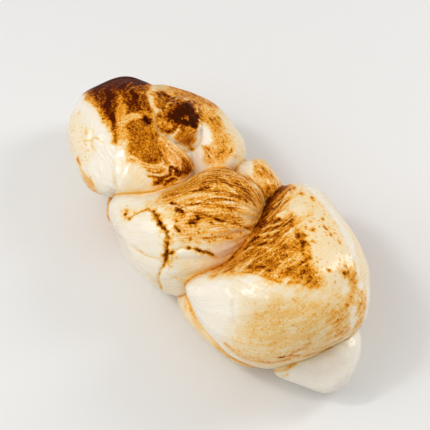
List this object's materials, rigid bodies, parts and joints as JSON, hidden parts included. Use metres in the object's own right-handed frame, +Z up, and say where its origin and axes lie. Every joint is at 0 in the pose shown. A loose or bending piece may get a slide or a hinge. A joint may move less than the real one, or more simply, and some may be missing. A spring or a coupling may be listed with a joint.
{
  "type": "braided smoked cheese",
  "caption": "Short fat rope of stretched-curd cheese twisted into a braid, with a looped head, a bulging lower fold and a blunt foot, smoked golden brown over ivory.",
  "frame": {"origin": "bottom centre of the bounding box, on the plane that the braid lies on", "axes": "+X along the braid from the looped head to the foot, +Z up out of the plane it lies on, so that the near, paler side faces -Y"},
  "size_m": [0.1644, 0.0754, 0.062],
  "materials": {
    "smoked_cheese": "smooth stretched-curd skin with a faint wet gloss, ivory where it lay shaded and smoked to golden and dark brown on top"
  },
  "bodies": {
    "root": {"braid": "smoked_cheese"}
  },
  "joints": []
}
